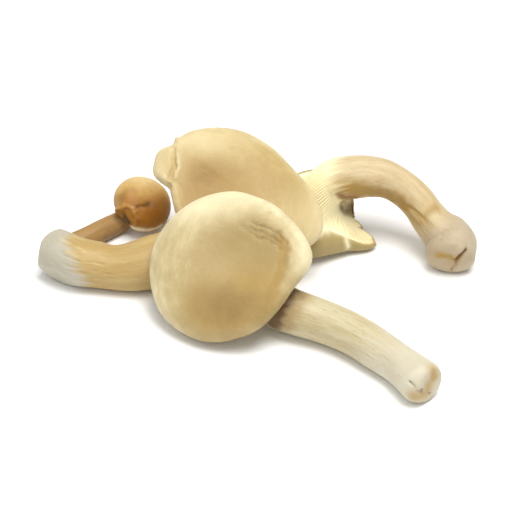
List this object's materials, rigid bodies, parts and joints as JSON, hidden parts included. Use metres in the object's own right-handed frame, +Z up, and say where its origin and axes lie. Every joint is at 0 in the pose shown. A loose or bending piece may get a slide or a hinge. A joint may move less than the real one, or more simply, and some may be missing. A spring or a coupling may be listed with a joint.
{
  "type": "abalone mushroom cluster",
  "caption": "Loose cluster of fresh pale tan mushrooms with broad smooth caps, gilled undersides and thick pale stems, lying on their sides.",
  "frame": {"origin": "middle of the cluster's underside, on the surface that it lies on", "axes": "+X to the right as seen in the picture, towards the cut end of the front mushroom's stem; +Y away from the viewer; +Z up"},
  "size_m": [0.2226, 0.1584, 0.0613],
  "materials": {
    "front_flesh": "soft matt skin, cream at the cap's edge and tan in its hollow",
    "back_flesh": "soft matt skin, tan with a pale edge",
    "right_flesh": "soft matt flesh, pale gills and a whitish stem",
    "small_flesh": "soft matt skin, brown"
  },
  "bodies": {
    "root": {"front_mushroom": "front_flesh", "back_mushroom": "back_flesh", "right_mushroom": "right_flesh", "small_mushroom": "small_flesh"}
  },
  "joints": []
}
